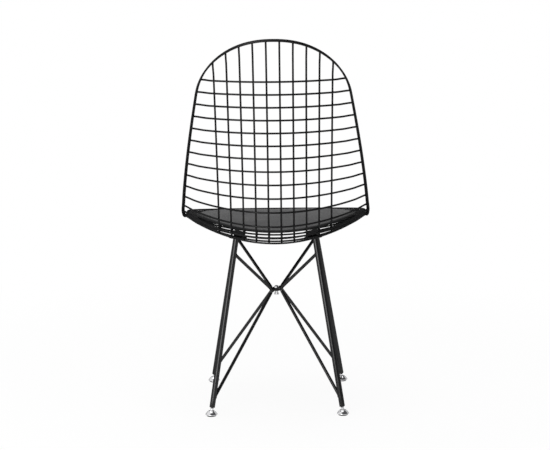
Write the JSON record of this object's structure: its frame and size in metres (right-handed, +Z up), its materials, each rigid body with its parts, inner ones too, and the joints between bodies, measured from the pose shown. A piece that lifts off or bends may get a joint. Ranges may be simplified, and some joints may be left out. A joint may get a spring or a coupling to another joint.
{
  "type": "wire dining chair",
  "caption": "Dining chair with a welded black wire shell under a rounded arch, a thin grey seat pad and a cross-braced rod base on chrome levelling glides.",
  "frame": {"origin": "on the floor, under the middle of the chair's plan", "axes": "+Z up, -Y the way the chair faces, +X to the sitter's left"},
  "size_m": [0.414, 0.5322, 0.8322],
  "materials": {
    "black_paint": "satin powder coat",
    "chrome": "bright plated",
    "grey_leather": "fine-grained dark grey leatherette"
  },
  "bodies": {
    "frame": {"cross_wire_01": "black_paint", "cross_wire_02": "black_paint", "cross_wire_03": "black_paint", "cross_wire_04": "black_paint", "cross_wire_05": "black_paint", "cross_wire_06": "black_paint", "cross_wire_07": "black_paint", "cross_wire_08": "black_paint", "cross_wire_09": "black_paint", "cross_wire_10": "black_paint", "cross_wire_11": "black_paint", "cross_wire_12": "black_paint", "cross_wire_13": "black_paint", "cross_wire_14": "black_paint", "cross_wire_15": "black_paint", "cross_wire_16": "black_paint", "cross_wire_17": "black_paint", "cross_wire_18": "black_paint", "cross_wire_19": "black_paint", "cross_wire_20": "black_paint", "cross_wire_21": "black_paint", "cross_wire_22": "black_paint", "cross_wire_23": "black_paint", "cross_wire_24": "black_paint", "long_wire_01": "black_paint", "long_wire_02": "black_paint", "long_wire_03": "black_paint", "long_wire_04": "black_paint", "long_wire_05": "black_paint", "long_wire_06": "black_paint", "long_wire_07": "black_paint", "long_wire_08": "black_paint", "long_wire_09": "black_paint", "long_wire_10": "black_paint", "rim_inner": "black_paint", "rim_outer": "black_paint", "clamp_front_left": "black_paint", "clamp_front_right": "black_paint", "clamp_rear_left": "black_paint", "clamp_rear_right": "black_paint", "leg_front_left": "black_paint", "leg_front_right": "black_paint", "leg_rear_left": "black_paint", "leg_rear_right": "black_paint", "strut_front_left": "black_paint", "strut_front_right": "black_paint", "strut_rear_left": "black_paint", "strut_rear_right": "black_paint", "hub_tab_left": "black_paint", "hub_tab_right": "black_paint", "hub_rivet": "chrome"},
    "stud_front_left": {"glide_stud_front_left": "chrome"},
    "stud_front_right": {"glide_stud_front_right": "chrome"},
    "stud_rear_left": {"glide_stud_rear_left": "chrome"},
    "stud_rear_right": {"glide_stud_rear_right": "chrome"},
    "foot_front_left": {"glide_foot_front_left": "chrome"},
    "foot_front_right": {"glide_foot_front_right": "chrome"},
    "foot_rear_left": {"glide_foot_rear_left": "chrome"},
    "foot_rear_right": {"glide_foot_rear_right": "chrome"},
    "pad": {"seat_pad": "grey_leather"}
  },
  "joints": [
    {"name": "level_front_left", "type": "slide", "parent": "frame", "child": "stud_front_left", "axis": [0.1627, -0.1552, -0.9744], "range_m": [-0.003, 0.006]},
    {"name": "level_front_right", "type": "slide", "parent": "frame", "child": "stud_front_right", "axis": [-0.1627, -0.1552, -0.9744], "range_m": [-0.003, 0.006]},
    {"name": "level_rear_left", "type": "slide", "parent": "frame", "child": "stud_rear_left", "axis": [0.1502, 0.1558, -0.9763], "range_m": [-0.003, 0.006]},
    {"name": "level_rear_right", "type": "slide", "parent": "frame", "child": "stud_rear_right", "axis": [-0.1502, 0.1558, -0.9763], "range_m": [-0.003, 0.006]},
    {"name": "tilt_front_left", "type": "hinge", "parent": "stud_front_left", "child": "foot_front_left", "pos_m": [0.1487, -0.21993, 0.0082], "axis": [-0.6902, -0.7236, 0], "range_deg": [-10, 10]},
    {"name": "tilt_front_right", "type": "hinge", "parent": "stud_front_right", "child": "foot_front_right", "pos_m": [-0.1487, -0.21993, 0.0082], "axis": [-0.6902, 0.7236, 0], "range_deg": [-10, 10]},
    {"name": "tilt_rear_left", "type": "hinge", "parent": "stud_rear_left", "child": "foot_rear_left", "pos_m": [0.1431, 0.06767, 0.0082], "axis": [0.72, -0.694, 0], "range_deg": [-10, 10]},
    {"name": "tilt_rear_right", "type": "hinge", "parent": "stud_rear_right", "child": "foot_rear_right", "pos_m": [-0.1431, 0.06767, 0.0082], "axis": [0.72, 0.694, 0], "range_deg": [-10, 10]},
    {"name": "pad_lift", "type": "slide", "parent": "frame", "child": "pad", "axis": [0, 0, 1], "range_m": [0, 0.12]}
  ]
}
